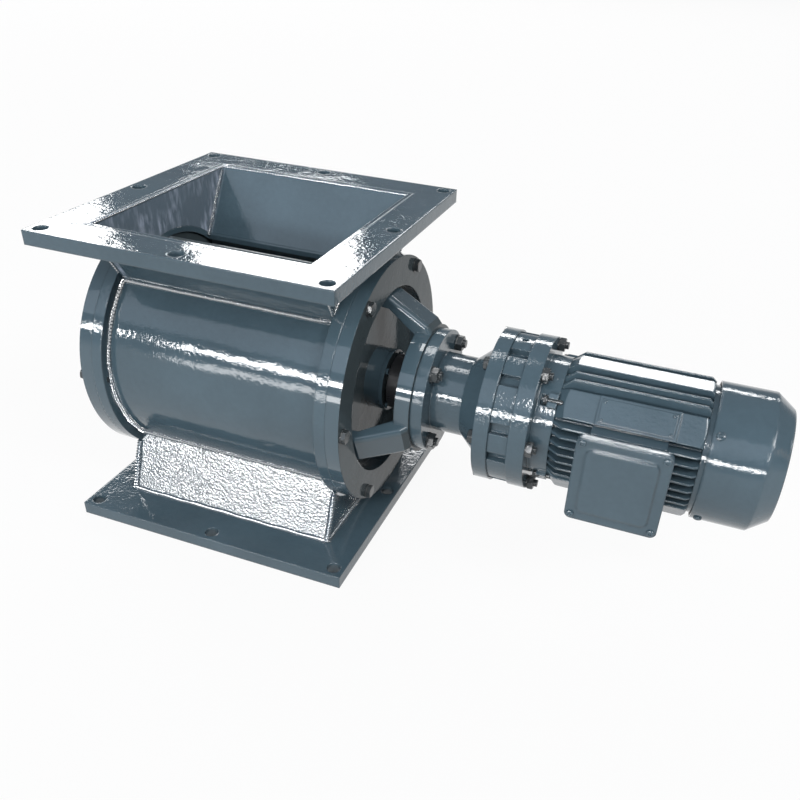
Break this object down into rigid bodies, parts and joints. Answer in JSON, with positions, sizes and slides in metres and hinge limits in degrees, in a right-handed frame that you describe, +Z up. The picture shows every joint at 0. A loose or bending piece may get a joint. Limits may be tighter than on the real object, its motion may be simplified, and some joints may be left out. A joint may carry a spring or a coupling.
{
  "type": "rotary airlock valve with gear motor",
  "caption": "Square-flanged rotary airlock valve: drum housing with sloped inlet and outlet hoppers and a star rotor, driven through a lantern and coupling by an in-line gear motor.",
  "frame": {"origin": "centre of the outlet flange's underside", "axes": "+X along the rotor axis towards the motor, +Z up to the inlet, terminal box on the -Y side"},
  "size_m": [0.89, 0.4, 0.416],
  "materials": {
    "enamel_fabrication": "gloss blue-grey enamel",
    "enamel_casting": "gloss blue-grey enamel on castings",
    "painted_fasteners": "painted over, satin",
    "rotor_steel": "machined, dull",
    "hardened_steel": "ground",
    "blackened_coupling": "black, satin",
    "black_rubber": "matt",
    "packing_cord": "woven, greased",
    "core_laminations": "varnished",
    "copper_windings": "varnished copper",
    "fan_plastic": "moulded"
  },
  "bodies": {
    "casings": {"inlet_flange": "enamel_fabrication", "inlet_neck": "enamel_fabrication", "barrel_shell": "enamel_fabrication", "drive_end_ring": "enamel_fabrication", "blind_end_ring": "enamel_fabrication", "outlet_chute": "enamel_fabrication", "outlet_flange": "enamel_fabrication", "drive_end_cover": "enamel_casting", "blind_end_cover": "enamel_casting", "cover_bolts": "painted_fasteners", "shaft_packings": "packing_cord", "drive_bearing_cap": "enamel_casting", "blind_bearing_cap": "enamel_casting", "bearing_cap_screws": "painted_fasteners", "rotor_bearing_outer_rings": "hardened_steel", "gearbox_output_housing": "enamel_casting", "gearbox_flange_studs": "painted_fasteners", "gearbox_flange_nuts": "painted_fasteners", "gearbox_oil_seals": "black_rubber", "output_bearing_outer_rings": "hardened_steel", "pin_gear_case": "enamel_casting", "ring_pins": "hardened_steel", "gearbox_through_bolts": "painted_fasteners", "gearbox_through_nuts": "painted_fasteners", "motor_front_shield": "enamel_casting", "motor_bearing_outer_rings": "hardened_steel", "motor_frame": "enamel_casting", "motor_name_plate": "enamel_casting", "stator_core": "core_laminations", "stator_windings": "copper_windings", "motor_rear_shield": "enamel_casting", "motor_shield_screws": "painted_fasteners", "fan_cowl": "enamel_casting", "cowl_screws": "painted_fasteners", "terminal_box": "enamel_casting", "terminal_box_gasket": "black_rubber", "terminal_box_lid": "enamel_casting", "terminal_lid_screws": "painted_fasteners", "terminal_block": "fan_plastic", "cable_gland": "black_rubber"},
    "star_rotor": {"rotor_shaft": "rotor_steel", "rotor_hub": "rotor_steel", "rotor_vanes": "rotor_steel", "rotor_bearing_inner_rings": "hardened_steel", "coupling_valve_half": "blackened_coupling", "coupling_spider": "black_rubber", "coupling_gearbox_half": "blackened_coupling", "coupling_keys": "rotor_steel", "output_shaft": "rotor_steel", "output_bearing_inner_rings": "hardened_steel", "carrier_pins": "hardened_steel", "carrier_rollers": "hardened_steel"},
    "motor_armature": {"motor_shaft": "rotor_steel", "motor_rotor_core": "core_laminations", "motor_fan": "fan_plastic", "motor_bearing_inner_rings": "hardened_steel", "eccentric_sleeve": "hardened_steel", "eccentric_bearings": "hardened_steel"},
    "front_cycloid": {"cycloid_disc_front": "hardened_steel"},
    "rear_cycloid": {"cycloid_disc_rear": "hardened_steel"}
  },
  "joints": [
    {"name": "rotor_spin", "type": "hinge", "parent": "casings", "child": "star_rotor", "pos_m": [0, 0, 0.208], "axis": [1, 0, 0], "continuous": true},
    {"name": "motor_spin", "type": "hinge", "parent": "casings", "child": "motor_armature", "pos_m": [0.5, 0, 0.208], "axis": [1, 0, 0], "continuous": true},
    {"name": "front_cycloid_spin", "type": "hinge", "parent": "motor_armature", "child": "front_cycloid", "pos_m": [0.35875, 0.0015, 0.208], "axis": [1, 0, 0], "continuous": true},
    {"name": "rear_cycloid_spin", "type": "hinge", "parent": "motor_armature", "child": "rear_cycloid", "pos_m": [0.37025, -0.0015, 0.208], "axis": [1, 0, 0], "continuous": true}
  ],
  "couplings": [
    {"joint": "motor_spin", "follows": "rotor_spin", "ratio": -29},
    {"joint": "front_cycloid_spin", "follows": "rotor_spin", "ratio": 30},
    {"joint": "rear_cycloid_spin", "follows": "rotor_spin", "ratio": 30}
  ]
}
